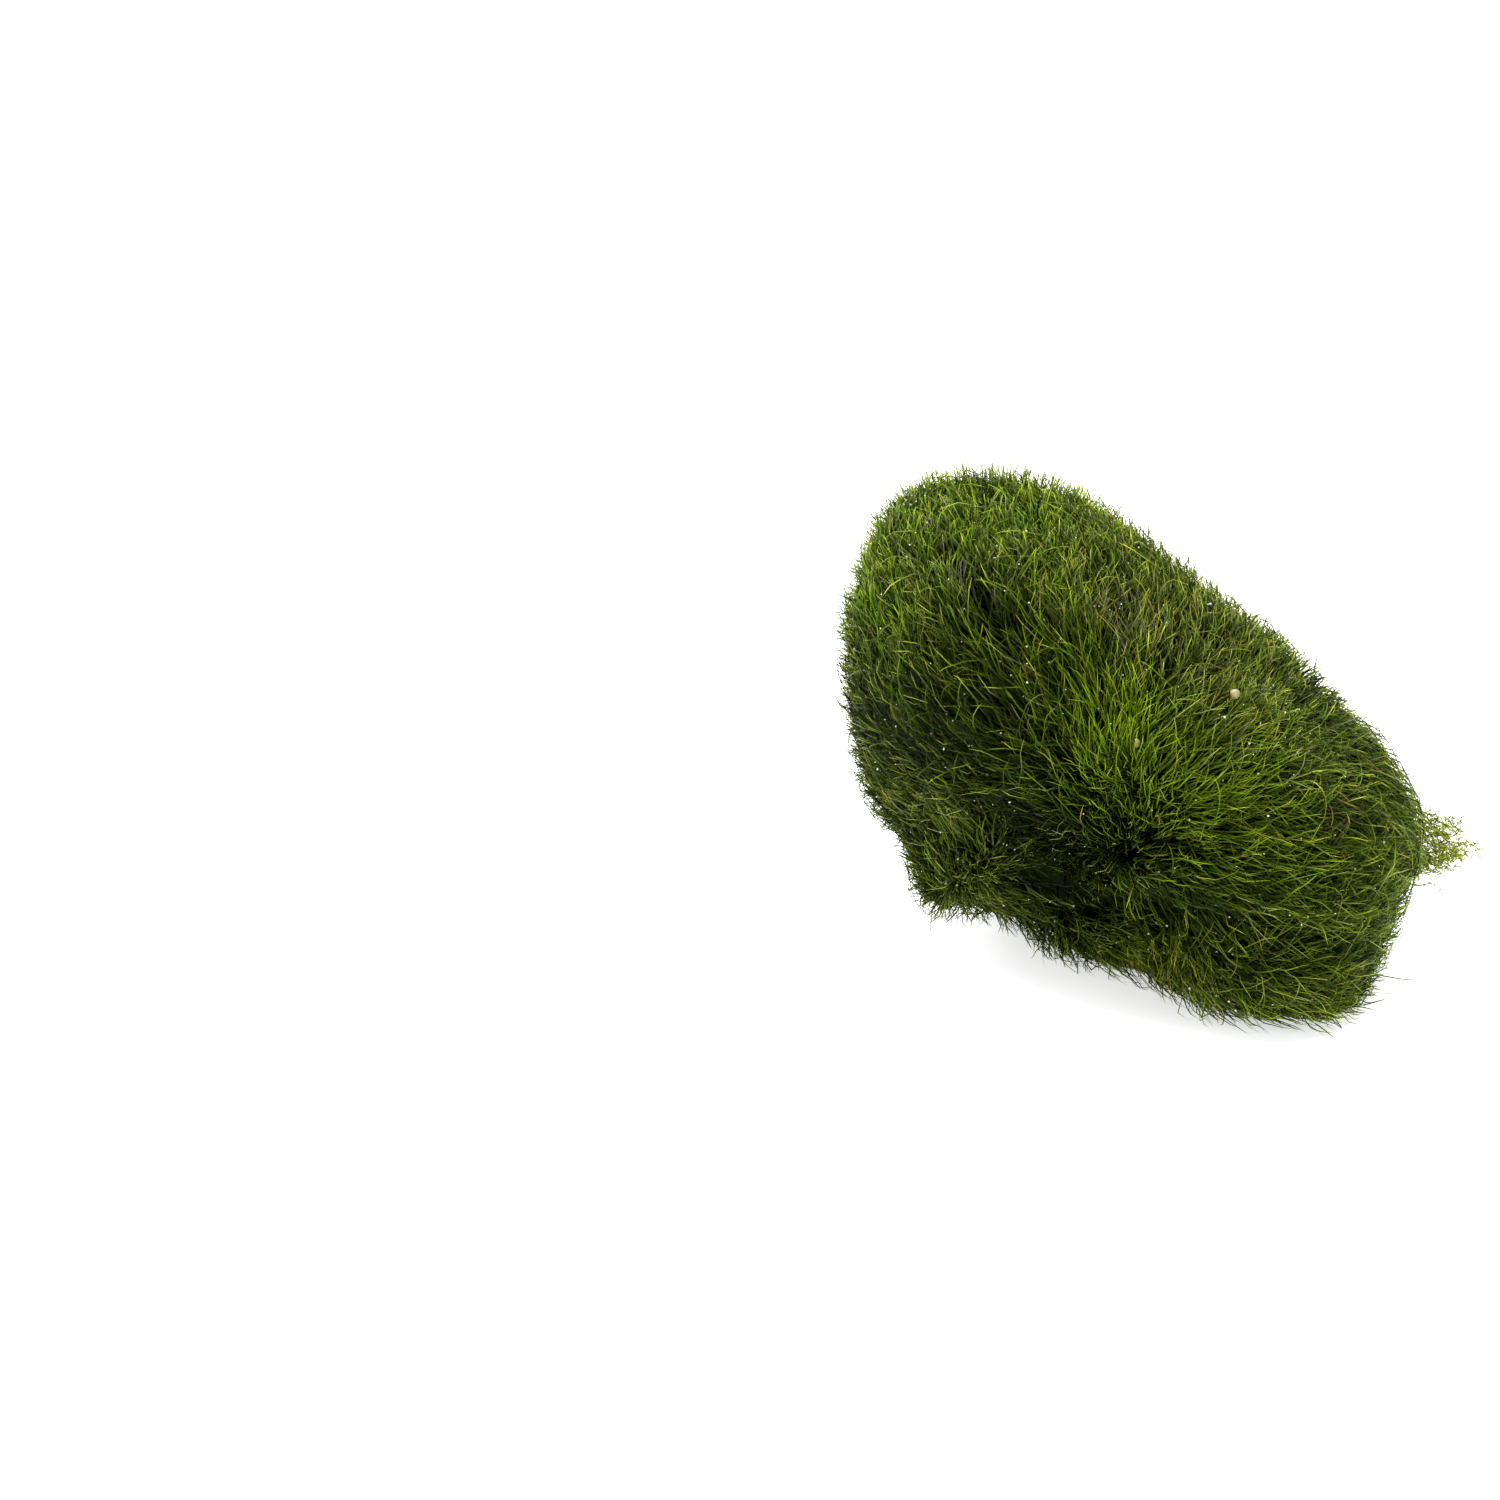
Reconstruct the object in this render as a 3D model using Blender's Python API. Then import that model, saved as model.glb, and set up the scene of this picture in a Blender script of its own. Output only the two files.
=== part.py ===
"""Marimo moss ball: a palm-sized cushion of green algae threads, grown as one piece.

The surface made here is the envelope of the threads' tips. The ball is shaped square on to its
broad face, in (across, up, towards) coordinates, and is then leaned back about the X axis to
the attitude in which it rests on one flat spot of its underside. +Z is up, and the broad face
looks towards -Y.
"""
import math

import bmesh
import bpy
import numpy as np
from mathutils import Matrix, Vector, noise

# Names
BALL_NAME = "moss_ball"
COLLECTION_NAME = "marimo_moss_ball"

# Driving dimensions, in millimetres and degrees unless a name says otherwise
MILLIMETRE = 0.001
LEAN_BACK = 18.0
REST_HEIGHT = 20.0
FRONT_DEPTH = 19.5
BACK_DEPTH = 20.0
FULLNESS = 2.25
LONG_AXIS_TURN = -38.0
THICKER_FOOT_END = 0.16
SURFACE_SPLITS = 5
RIM_SNAP = 0.45

# Outline of the broad face: angle from +X, radius from the middle, and how far that stretch of
# the rim lies behind the middle plane
OUTLINE = (
    (0.0, 23.5, 4.0),
    (18.0, 19.6, 5.0),
    (36.0, 18.4, 6.5),
    (60.0, 17.1, 7.0),
    (78.0, 18.4, 7.0),
    (95.0, 22.5, 6.5),
    (115.0, 28.7, 6.0),
    (134.0, 31.9, 5.5),
    (150.0, 28.9, 5.0),
    (170.0, 26.2, 5.0),
    (190.0, 24.2, 7.0),
    (208.0, 21.4, 9.0),
    (222.0, 20.4, 12.0),
    (240.0, 19.7, 15.5),
    (255.0, 19.9, 11.5),
    (270.0, 20.3, 5.5),
    (285.0, 24.2, -3.0),
    (300.0, 27.2, -6.0),
    (314.0, 30.5, -1.5),
    (330.0, 28.4, 3.0),
    (345.0, 27.3, 3.5),
)

# Bulges of the broad face: across, up, reach and height of each
CREST_TUFT = (-1.5, -0.5, 5.0, 1.3)
SIDE_TUFT = (5.5, -6.0, 4.5, 1.2)
LOWER_LOBE = (-15.0, -12.2, 4.4, 3.8)
SHOULDER = (-17.0, 13.0, 9.0, 1.2)
HEEL = (21.0, -12.0, 7.0, 1.2)
BULGES = (CREST_TUFT, SIDE_TUFT, LOWER_LOBE, SHOULDER, HEEL)

# The furrow under the broad face, and the lip that rolls out below it
FURROW_PATH = ((-20.0, -7.0), (-12.2, -7.8), (-8.8, -12.0), (-4.0, -15.6), (12.0, -17.8), (20.0, -19.4))
FURROW_WIDTH = 2.6
FURROW_DEPTH = 3.2
LIP_PATH = ((-10.0, -17.2), (0.0, -19.6), (10.0, -22.0), (19.0, -23.0))
LIP_WIDTH = 3.2
LIP_HEIGHT = 1.9

# The tuft that sticks out of the right-hand end
TUFT_ANGLE = -16.0
TUFT_SPREAD = 5.2
TUFT_THICKNESS = 3.2
TUFT_HEIGHT = 5.6

# Uneven growth: lumps, and locks that run out from the whorl in the middle of the broad face
WHORL = (-1.5, -2.5)
LUMP_SIZE = 11.0
LUMP_HEIGHT = 1.3
LOCK_SIZE = 6.0
LOCK_HEIGHT = 0.9
LOCK_STRETCH = 2.4

# Colour of the moss, from the photo (linear RGB)
MOSS_COLOUR = (0.055, 0.105, 0.012, 1.0)
MOSS_ROUGHNESS = 0.75
MOSS_METALLIC = 0.0


def clear_scene() -> None:
    """Remove every object, so that the script gives the same scene each time."""
    for item in list(bpy.data.objects):
        bpy.data.objects.remove(item, do_unlink=True)


def part_collection(name: str) -> bpy.types.Collection:
    """Return a collection of this name, linked to the scene."""
    collection = bpy.data.collections.get(name) or bpy.data.collections.new(name)
    if collection.name not in bpy.context.scene.collection.children:
        bpy.context.scene.collection.children.link(collection)
    return collection


def moss_material() -> bpy.types.Material:
    """Return the dull green of the moss."""
    material = bpy.data.materials.new("moss_green")
    material.use_nodes = True
    shader = material.node_tree.nodes["Principled BSDF"]
    shader.inputs["Base Color"].default_value = MOSS_COLOUR
    shader.inputs["Roughness"].default_value = MOSS_ROUGHNESS
    shader.inputs["Metallic"].default_value = MOSS_METALLIC
    return material


def rim_at(angle: float) -> tuple[float, float]:
    """Return the outline's radius and set-back at an angle in degrees, smooth all the way round."""
    stops = np.array(OUTLINE)
    count = len(stops)
    angle %= 360.0
    start = int(np.searchsorted(stops[:, 0], angle, side="right")) - 1
    wrapped = np.array([stops[(start + step) % count] for step in (-1, 0, 1, 2)])
    wrapped[:, 0] += [360.0 * ((start + step) // count) for step in (-1, 0, 1, 2)]
    before, here, there, after = wrapped
    span = there[0] - here[0]
    share = (angle - here[0]) / span
    slope_here = (there[1:] - before[1:]) / (there[0] - before[0]) * span
    slope_there = (after[1:] - here[1:]) / (after[0] - here[0]) * span
    value = (
        (2 * share**3 - 3 * share**2 + 1) * here[1:]
        + (share**3 - 2 * share**2 + share) * slope_here
        + (3 * share**2 - 2 * share**3) * there[1:]
        + (share**3 - share**2) * slope_there
    )
    return float(value[0]), float(value[1])


def smooth_step(low: float, high: float, value: float) -> float:
    """Return 0 below low, 1 above high, and a smooth rise between."""
    share = min(max((value - low) / (high - low), 0.0), 1.0)
    return share * share * (3.0 - 2.0 * share)


def path_nearness(path: tuple, width: float, across: float, up: float) -> float:
    """Return 1 on a path of the broad face, fading to 0 away from it and at its two ends."""
    point = Vector((across, up))
    nearest = 1.0e6
    length = sum((Vector(path[i + 1]) - Vector(path[i])).length for i in range(len(path) - 1))
    walked = 0.0
    place = 0.0
    for i in range(len(path) - 1):
        start = Vector(path[i])
        run = Vector(path[i + 1]) - start
        share = min(max((point - start).dot(run) / run.length_squared, 0.0), 1.0)
        distance = (point - start - run * share).length
        if distance < nearest:
            nearest = distance
            place = (walked + share * run.length) / length
        walked += run.length
    ends = smooth_step(-0.12, 0.18, place) * smooth_step(-0.12, 0.18, 1.0 - place)
    return math.exp(-((nearest / width) ** 2)) * ends


def pillow_point(direction: Vector) -> Vector:
    """Return the plain pillow's surface for a unit direction (across, up, towards)."""
    in_face = math.hypot(direction.x, direction.y)
    angle = math.degrees(math.atan2(direction.y, direction.x))
    radius, set_back = rim_at(angle)
    fill = (in_face**FULLNESS + abs(direction.z) ** FULLNESS) ** (-1.0 / FULLNESS)
    foot_end = in_face * math.cos(math.radians(angle - LONG_AXIS_TURN))
    depth = FRONT_DEPTH if direction.z > 0.0 else BACK_DEPTH
    depth *= 1.0 + THICKER_FOOT_END * foot_end
    reach = in_face * fill
    across = reach * radius * math.cos(math.radians(angle))
    up = reach * radius * math.sin(math.radians(angle))
    towards = direction.z * fill * depth - set_back * reach**2
    return Vector((across, up, towards))


def face_relief(direction: Vector, point: Vector) -> float:
    """Return how far the bulges, furrow and lip lift the broad face at a point."""
    facing = smooth_step(-0.25, 0.3, direction.z)
    lift = 0.0
    for across, up, reach, height in BULGES:
        distance = math.hypot(point.x - across, point.y - up)
        lift += height * math.exp(-((distance / reach) ** 2))
    lift -= FURROW_DEPTH * path_nearness(FURROW_PATH, FURROW_WIDTH, point.x, point.y)
    lift += LIP_HEIGHT * path_nearness(LIP_PATH, LIP_WIDTH, point.x, point.y)
    return lift * facing


def end_tuft(direction: Vector, point: Vector) -> float:
    """Return how far the side tuft lifts the right-hand end at a point."""
    angle = math.degrees(math.atan2(direction.y, direction.x))
    turn = (angle - TUFT_ANGLE) / TUFT_SPREAD
    offset = (point.z + rim_at(TUFT_ANGLE)[1]) / TUFT_THICKNESS
    return TUFT_HEIGHT * math.exp(-(turn**2) - offset**2)


def growth_relief(point: Vector) -> float:
    """Return the uneven growth at a point: lumps, and locks drawn out from the whorl."""
    lump = noise.noise(point / LUMP_SIZE)
    away = Vector((point.x - WHORL[0], point.y - WHORL[1]))
    angle = math.atan2(away.y, away.x)
    ring = away.length / (LOCK_SIZE * LOCK_STRETCH)
    turns = away.length / LOCK_SIZE
    lock_place = Vector((math.cos(angle) * turns, math.sin(angle) * turns, point.z / LOCK_SIZE))
    lock = noise.noise(lock_place * (1.0 / (1.0 + ring)) + Vector((7.3, 1.9, 4.1)))
    return LUMP_HEIGHT * lump + LOCK_HEIGHT * lock


def ball_point(direction: Vector) -> Vector:
    """Return the finished surface, square on to the broad face, for a unit direction."""
    point = pillow_point(direction)
    lift = face_relief(direction, point) + end_tuft(direction, point) + growth_relief(point)
    return point + direction * lift


def cut_flat_spot(mesh: bmesh.types.BMesh) -> None:
    """Cut the underside off at height 0 and close it with one flat face."""
    snap = RIM_SNAP * MILLIMETRE
    for vert in mesh.verts:
        if abs(vert.co.z) < snap:
            vert.co.z = 0.0
    everything = mesh.verts[:] + mesh.edges[:] + mesh.faces[:]
    bmesh.ops.bisect_plane(
        mesh, geom=everything, dist=1.0e-6, plane_co=(0, 0, 0), plane_no=(0, 0, 1), clear_inner=True
    )
    rim = [edge for edge in mesh.edges if edge.is_boundary]
    bmesh.ops.edgeloop_fill(mesh, edges=rim)


def build_moss_ball() -> bpy.types.Object:
    """Make the ball's one solid, standing on its flat spot with the origin under its middle."""
    mesh = bmesh.new()
    bmesh.ops.create_icosphere(mesh, subdivisions=SURFACE_SPLITS, radius=1.0)
    for vert in mesh.verts:
        vert.co = ball_point(vert.co.normalized()) * MILLIMETRE
    upright = Matrix.Rotation(math.radians(90.0 - LEAN_BACK), 4, "X")
    bmesh.ops.transform(mesh, matrix=upright, verts=mesh.verts)
    bmesh.ops.translate(mesh, vec=(0.0, 0.0, REST_HEIGHT * MILLIMETRE), verts=mesh.verts)
    cut_flat_spot(mesh)
    corners = np.array([vert.co for vert in mesh.verts])
    middle = (corners.min(axis=0) + corners.max(axis=0)) / 2.0
    bmesh.ops.translate(mesh, vec=(-middle[0], -middle[1], 0.0), verts=mesh.verts)
    bmesh.ops.recalc_face_normals(mesh, faces=mesh.faces)
    data = bpy.data.meshes.new(BALL_NAME)
    mesh.to_mesh(data)
    mesh.free()
    data.shade_smooth()
    data.set_sharp_from_angle(angle=math.radians(50.0))
    data.materials.append(moss_material())
    return bpy.data.objects.new(BALL_NAME, data)


def main() -> None:
    """Build the moss ball in a collection of its own."""
    clear_scene()
    part_collection(COLLECTION_NAME).objects.link(build_moss_ball())


main()
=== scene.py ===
"""Looks of a marimo moss ball: a dark matted body under a deep pile of green algae threads.

The CAD solid follows the tips of the threads. Here it is replaced by a felted body that lies
under those tips, and by the threads themselves, which are joined meshes combed over the body
the way the real ball is combed: they fan out of a whorl above the furrow of the broad face, and
out of a second whorl behind. At the upper left of the rim they stand up in a thin fringe. Lengths
are in metres and angles in degrees unless a name or a docstring says otherwise.
"""
import logging
import math
from dataclasses import dataclass, field
from enum import Enum

import bmesh
import bpy
import numpy as np
from mathutils import Matrix, Vector, kdtree, noise
from mathutils.bvhtree import BVHTree


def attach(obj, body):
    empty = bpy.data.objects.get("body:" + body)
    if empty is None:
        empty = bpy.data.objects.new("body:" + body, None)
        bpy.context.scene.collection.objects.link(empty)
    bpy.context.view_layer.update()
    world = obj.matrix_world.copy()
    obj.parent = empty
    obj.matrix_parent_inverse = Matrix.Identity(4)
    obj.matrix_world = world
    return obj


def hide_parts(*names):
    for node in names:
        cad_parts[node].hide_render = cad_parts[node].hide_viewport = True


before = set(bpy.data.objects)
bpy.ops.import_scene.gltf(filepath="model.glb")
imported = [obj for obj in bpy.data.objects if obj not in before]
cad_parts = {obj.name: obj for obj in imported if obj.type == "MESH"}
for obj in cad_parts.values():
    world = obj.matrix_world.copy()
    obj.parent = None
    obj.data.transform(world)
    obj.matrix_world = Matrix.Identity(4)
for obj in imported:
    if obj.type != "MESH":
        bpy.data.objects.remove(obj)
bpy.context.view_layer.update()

Array = np.ndarray
Random = np.random.Generator
Pair = tuple[float, float]
Triple = tuple[float, float, float]
Rings = tuple[float, ...]

LOG = logging.getLogger("moss_ball")
MM = 0.001
NODE = "moss_ball"
BODY = "root"
BAKE_MAP = "OFBake"
LOWEST = 0.03 * MM

# How far towards the viewer, in mm, the marks of the broad face fade out and are whole
FADED, WHOLE = -15.0, -9.0

# Where the range of one colour group starts on its stretch of the palette, and its length
TONE_START, TONE_SPAN = 0.12, 0.76

# The flat underside: how far down a normal there points, and the share of threads left on it
UNDERSIDE, UNDERSIDE_SHARE = -0.9, 0.35


class Tone(Enum):
    """Colour groups of the threads, in their order along the palette."""

    GREY = 0
    DEEP = 1
    MID = 2
    BRIGHT = 3
    OLIVE = 4
    BROWN = 5
    GOLD = 6
    PALE = 7


@dataclass(frozen=True)
class ThreadColour:
    """The darkest and lightest colour of one group, in linear RGB."""

    tone: Tone
    dark: Triple
    light: Triple


THREAD_COLOURS = (
    ThreadColour(Tone.GREY, (0.045, 0.040, 0.032), (0.170, 0.152, 0.128)),
    ThreadColour(Tone.DEEP, (0.006, 0.012, 0.001), (0.045, 0.080, 0.005)),
    ThreadColour(Tone.MID, (0.024, 0.046, 0.002), (0.145, 0.215, 0.008)),
    ThreadColour(Tone.BRIGHT, (0.060, 0.125, 0.002), (0.250, 0.390, 0.008)),
    ThreadColour(Tone.OLIVE, (0.070, 0.082, 0.006), (0.300, 0.320, 0.040)),
    ThreadColour(Tone.BROWN, (0.080, 0.040, 0.014), (0.330, 0.230, 0.090)),
    ThreadColour(Tone.GOLD, (0.260, 0.310, 0.015), (0.560, 0.620, 0.070)),
    ThreadColour(Tone.PALE, (0.140, 0.185, 0.035), (0.380, 0.440, 0.150)),
)


@dataclass(frozen=True)
class FaceFrame:
    """Square-on coordinates of the broad face: across, up and towards the viewer.

    The seen place of a point is where the photograph shows it: its place on the plane through
    the middle, in line with the camera, which stands in front of the photograph's own middle.
    """

    origin: Triple = (-2.49 * MM, 0.925 * MM, 20.0 * MM)
    lean: float = 18.0
    camera_away: float = 340.0 * MM
    camera_aside: Pair = (-34.2 * MM, 0.0)

    def axes(self) -> Array:
        """Return the three axes as rows: across, up, towards."""
        sine = math.sin(math.radians(self.lean))
        cosine = math.cos(math.radians(self.lean))
        return np.array([[1.0, 0.0, 0.0], [0.0, sine, cosine], [0.0, -cosine, sine]])

    def to_face(self, points: Array) -> Array:
        """Return points of the part in face coordinates."""
        return (points - np.array(self.origin)) @ self.axes().T

    def to_part(self, points: Array) -> Array:
        """Return face coordinates as points of the part."""
        return points @ self.axes() + np.array(self.origin)

    def turn_to_part(self, vectors: Array) -> Array:
        """Return face directions as directions of the part."""
        return vectors @ self.axes()

    def seen(self, points: Array) -> Array:
        """Return the seen places of points of the part, in mm, with how far towards they lie."""
        face = self.to_face(points)
        grown = self.camera_away / (self.camera_away - face[..., 2:])
        aside = np.array(self.camera_aside)
        return np.concatenate([(face[..., :2] - aside) * grown + aside, face[..., 2:]], axis=-1) / MM

    def camera(self) -> Array:
        """Return where the photograph's camera stands, as a point of the part."""
        return self.to_part(np.array([*self.camera_aside, self.camera_away]))


FACE = FaceFrame()


@dataclass(frozen=True)
class CombGuide:
    """Which way the threads lie round one place of the broad face, in mm and degrees."""

    across: float
    up: float
    heading: float
    comb: float


COMB_GUIDES = tuple(CombGuide(*row) for row in (
    (-20.7, 19.5, 104.0, 0.8), (-13.5, 22.0, 98.0, 0.8), (-6.3, 18.5, 84.0, 0.9),
    (-24.3, 9.0, 122.0, 0.9), (-18.5, 12.5, 118.0, 1.1), (-9.9, 12.5, 104.0, 1.1),
    (-24.3, 1.0, 140.0, 1.0), (-16.5, 5.5, 146.0, 1.2), (-9.9, 4.5, 130.0, 1.1),
    (-22.0, -4.5, 165.0, 1.1), (-13.5, -2.7, 143.0, 1.3), (-20.0, -9.5, 160.0, 0.9),
    (-16.6, -10.0, 104.0, 1.1), (-11.5, -10.8, 70.0, 1.0), (-8.1, -6.3, 142.0, 1.3),
    (-4.6, -8.8, 144.0, 1.1), (-3.6, -2.2, 100.0, 1.1), (-0.8, -6.4, 84.0, 1.1),
    (-0.6, -9.4, 56.0, 0.9), (-3.6, -12.4, 20.0, 1.0), (0.4, -13.6, 2.0, 1.2), (-2.7, 8.1, 92.0, 1.2),
    (2.7, 9.9, 74.0, 1.2), (1.6, -1.8, 70.0, 1.1), (8.1, 4.5, 58.0, 1.3), (4.5, -6.0, 18.0, 1.2),
    (13.5, 0.9, 40.0, 1.3), (12.0, -5.4, 14.0, 1.5), (19.5, -3.0, 10.0, 1.5), (24.5, -4.5, -38.0, 1.3),
    (8.5, -9.6, -8.0, 1.5), (14.0, -10.5, -6.0, 1.6), (21.0, -10.5, 8.0, 1.5), (2.8, -10.2, 18.0, 1.3),
    (9.9, -14.6, -13.0, 1.7), (20.0, -16.0, 4.0, 1.4), (-8.5, -15.6, -20.0, 1.2),
    (-13.0, -15.6, -60.0, 0.8), (-3.0, -17.0, 8.0, 1.0), (4.0, -18.8, -8.0, 1.6),
    (13.0, -20.5, -12.0, 1.6), (17.0, -24.0, -16.0, 1.5), (7.0, -23.0, -24.0, 1.4),
))


@dataclass(frozen=True)
class Spot:
    """An oval stretch of the broad face, in mm and degrees, that fades out at its edge."""

    across: float
    up: float
    long_reach: float
    short_reach: float
    turn: float


@dataclass(frozen=True)
class TintAndPaintedLightSpot(Spot):
    """A stretch where a share of the threads take another colour, and all grow lighter or darker: some
    spots are real patches of colour, others painted shade or painted light, as marked in the list.
    """

    tone: Tone
    share: float
    # Lift darkens or lightens the threads; in the spots marked so it is painted shade or painted light.
    lift: float = 0.0


TINT_AND_PAINTED_LIGHT_SPOTS = tuple(TintAndPaintedLightSpot(*row) for row in (
    # The next three rows are painted shade: darker on the lower left, and in and above the furrow.
    (-18.5, -1.0, 11.0, 8.0, -45.0, Tone.DEEP, 0.62, -0.60),
    (-6.5, -11.5, 6.0, 3.0, -25.0, Tone.DEEP, 0.70, -0.50),
    (-8.0, -7.0, 7.0, 3.8, -35.0, Tone.DEEP, 0.55, -0.35),
    (-11.0, 8.0, 8.0, 5.0, -40.0, Tone.DEEP, 0.20, -0.10),
    (19.0, -6.5, 6.0, 3.0, -20.0, Tone.DEEP, 0.25, -0.15),
    # Painted shade just above the furrow at the right.
    (13.0, -13.2, 9.0, 4.8, -5.0, Tone.DEEP, 0.40, -0.40),
    (-1.0, 17.0, 7.0, 3.0, -30.0, Tone.MID, 0.40, -0.10),
    (5.0, 9.0, 10.0, 6.0, -40.0, Tone.OLIVE, 0.55, 0.15),
    (0.0, -19.5, 12.0, 4.0, -18.0, Tone.OLIVE, 0.40, 0.0),
    # The next two rows lighten the lower left lobe: olive and pale threads, lifted as painted light.
    (-14.8, -9.8, 4.2, 3.0, -50.0, Tone.OLIVE, 0.40, 0.60),
    (-14.8, -9.8, 4.2, 3.0, -50.0, Tone.PALE, 0.20, 0.10),
    (-14.8, 14.8, 4.6, 1.6, -50.0, Tone.GREY, 0.95, 0.25),
    (-1.0, 11.6, 2.3, 1.8, -40.0, Tone.GREY, 0.90, 0.2),
    (3.0, 8.6, 2.0, 1.3, -40.0, Tone.GREY, 0.80, 0.2), (8.0, -0.8, 1.4, 1.1, 0.0, Tone.GREY, 0.40, 0.1),
    # The next two rows: bright green threads, also lifted lighter as painted light where the pile turns
    # up to the light.
    (-1.4, -0.4, 5.0, 3.6, 75.0, Tone.BRIGHT, 0.88, 0.50),
    (4.5, -6.0, 7.0, 3.6, -25.0, Tone.BRIGHT, 0.85, 0.45),
    (9.5, 0.5, 5.0, 4.5, 30.0, Tone.MID, 0.40, 0.30),
    (21.5, -12.5, 5.0, 4.5, 0.0, Tone.BRIGHT, 0.40, -0.10),
    # The next two rows: bright green threads at the upper left and the top, lifted lighter as painted
    # light on the lit rim.
    (-23.0, 12.0, 6.0, 5.0, 60.0, Tone.BRIGHT, 0.50, 0.30),
    (-13.0, 22.0, 11.0, 4.6, 5.0, Tone.BRIGHT, 0.65, 0.40),
    (0.3, 20.2, 1.5, 0.7, -35.0, Tone.BROWN, 0.60, 0.3),
    (18.5, -3.7, 1.2, 0.6, 10.0, Tone.BROWN, 0.50, 0.3),
))


@dataclass(frozen=True)
class Gap(Spot):
    """A bare dark hollow that the threads leave open."""

    depth: float = 1.0


GAPS = tuple(Gap(*row) for row in (
    (-7.2, -12.3, 4.4, 1.5, -25.0, 0.93), (-1.0, 11.6, 2.0, 1.4, -40.0, 0.60),
    (3.0, 8.6, 1.7, 1.0, -40.0, 0.50), (2.6, -14.2, 4.0, 0.8, -8.0, 0.92),
    (7.6, -15.2, 2.8, 0.6, -16.0, 0.85), (-1.0, -9.2, 1.5, 0.5, 80.0, 0.95),
    (-13.6, 14.4, 3.8, 0.9, -53.0, 0.85), (9.3, -7.0, 1.6, 0.4, 10.0, 0.7),
    (12.6, -21.9, 2.6, 0.6, -14.0, 0.8),
))

# Where the pile is loosest, and how wide the band is in which threads stand up at the rim
LOOSE_RIM = Spot(-10.0, 24.0, 13.0, 5.5, 8.0)
STANDING_WIDTH = 0.32


class Signal:
    """One output socket of a material, with arithmetic that adds Math nodes."""

    def __init__(self, kit: "NodeKit", socket: bpy.types.NodeSocket) -> None:
        self.kit = kit
        self.socket = socket

    def __add__(self, other: "Signal | float") -> "Signal":
        """Return self + other."""
        return self.kit.maths("ADD", self, other)

    def __radd__(self, other: float) -> "Signal":
        """Return other + self."""
        return self.kit.maths("ADD", other, self)

    def __mul__(self, other: "Signal | float") -> "Signal":
        """Return self * other."""
        return self.kit.maths("MULTIPLY", self, other)

    def __rmul__(self, other: float) -> "Signal":
        """Return other * self."""
        return self.kit.maths("MULTIPLY", other, self)


class NodeKit:
    """Builds the node tree of one material."""

    def __init__(self, name: str) -> None:
        """Make a material of this name and keep its tree and shader."""
        self.material = bpy.data.materials.new(name)
        self.material.use_nodes = True
        self.tree = self.material.node_tree
        self.shader = self.tree.nodes["Principled BSDF"]

    def node(
        self, kind: str, settings: dict | None = None, sockets: dict | None = None
    ) -> bpy.types.Node:
        """Add a node.

        Args:
            kind: The node's type name.
            settings: Its properties, and the stops of a ramp under "stops".
            sockets: Values or signals for its inputs, by name or number.

        Returns:
            The new node.
        """
        node = self.tree.nodes.new(kind)
        for key, value in (settings or {}).items():
            if key == "stops":
                self._set_stops(node.color_ramp, value)
            else:
                setattr(node, key, value)
        for key, value in (sockets or {}).items():
            self.feed(node.inputs[key], value)
        return node

    def feed(self, socket: bpy.types.NodeSocket, value: "Signal | float | tuple") -> None:
        """Link a signal to a socket, or set the socket's own value."""
        if isinstance(value, Signal):
            self.tree.links.new(value.socket, socket)
        else:
            socket.default_value = value

    def signal(self, node: bpy.types.Node, name: str | int = 0) -> Signal:
        """Return one output of a node as a signal."""
        return Signal(self, node.outputs[name])

    def maths(self, operation: str, first: "Signal | float", second: "Signal | float") -> Signal:
        """Return the result of a Math node."""
        return self.signal(self.node("ShaderNodeMath", {"operation": operation}, {0: first, 1: second}))

    def ramp(self, value: Signal, stops: tuple) -> Signal:
        """Return a colour ramp's colour; stops are (place, (r, g, b)) pairs."""
        return self.signal(self.node("ShaderNodeValToRGB", {"stops": stops}, {"Fac": value}), "Color")

    def mottle(self, scale: float, detail: float) -> Signal:
        """Return noise on Object coordinates, with features of 1 / scale metres."""
        place = self.signal(self.node("ShaderNodeTexCoord"), "Object")
        sockets = {"Vector": place, "Scale": scale, "Detail": detail}
        return self.signal(self.node("ShaderNodeTexNoise", None, sockets))

    def tinted(self, colour: Signal, tint: Signal) -> Signal:
        """Return a colour times another."""
        settings = {"operation": "MULTIPLY"}
        return self.signal(self.node("ShaderNodeVectorMath", settings, {0: colour, 1: tint}))

    def capped(self, colour: Signal, most: float) -> Signal:
        """Return a colour held at or under a value."""
        sockets = {0: colour, 1: (most, most, most)}
        return self.signal(self.node("ShaderNodeVectorMath", {"operation": "MINIMUM"}, sockets))

    def finish(self, **inputs: "Signal | float | tuple") -> bpy.types.Material:
        """Feed the shader's inputs, whose names have _ for a space, and return the material."""
        for key, value in inputs.items():
            self.feed(self.shader.inputs[key.replace("_", " ")], value)
        return self.material

    @staticmethod
    def _set_stops(ramp: bpy.types.ColorRamp, stops: tuple) -> None:
        """Give a ramp its stops."""
        while len(ramp.elements) > 1:
            ramp.elements.remove(ramp.elements[-1])
        ramp.elements[0].position = stops[0][0]
        ramp.elements[0].color = (*stops[0][1], 1.0)
        for place, colour in stops[1:]:
            ramp.elements.new(place).color = (*colour, 1.0)


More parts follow.
